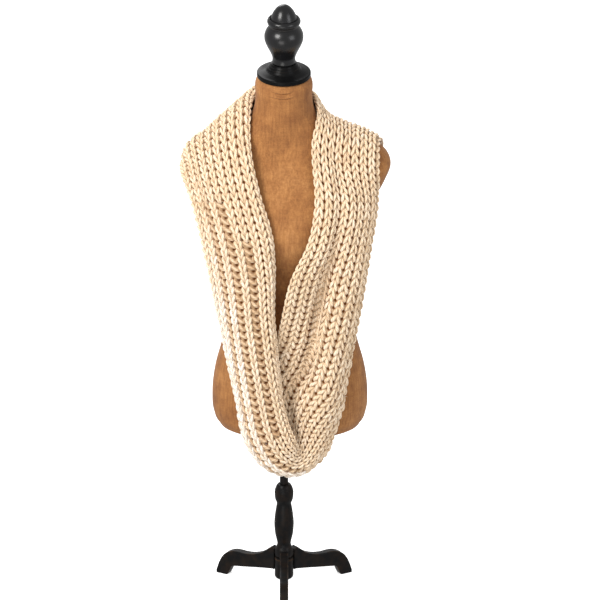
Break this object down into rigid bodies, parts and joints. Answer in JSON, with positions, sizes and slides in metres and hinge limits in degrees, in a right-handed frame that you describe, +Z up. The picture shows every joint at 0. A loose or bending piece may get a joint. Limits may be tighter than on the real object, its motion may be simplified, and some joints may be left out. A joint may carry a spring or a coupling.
{
  "type": "infinity scarf on a dress form",
  "caption": "Chunky rib-knit infinity scarf draped over both shoulders of a limbless dress form, with the loop crossed low in front, on a turned tripod stand.",
  "frame": {"origin": "middle of the bounding box's bottom face, on the floor", "axes": "+Z up along the form and its pole, -Y out of the form's front, +X to the viewer's right"},
  "size_m": [0.3928, 0.2812, 1.1754],
  "materials": {
    "oatmeal_wool": "chunky rib knit in a soft, slightly hairy yarn",
    "tan_suede_cloth": "close brushed cloth with soft mottling",
    "black_turned_wood": "black satin paint, rubbed at the edges"
  },
  "bodies": {
    "root": {"form_body": "tan_suede_cloth", "neck_cap": "black_turned_wood", "finial": "black_turned_wood", "pole": "black_turned_wood", "post": "black_turned_wood", "hub": "black_turned_wood", "leg_front": "black_turned_wood", "leg_left": "black_turned_wood", "leg_right": "black_turned_wood", "scarf_shoulder_left": "oatmeal_wool", "scarf_front_left": "oatmeal_wool", "scarf_turn": "oatmeal_wool", "scarf_front_right": "oatmeal_wool", "scarf_shoulder_right": "oatmeal_wool"}
  },
  "joints": []
}
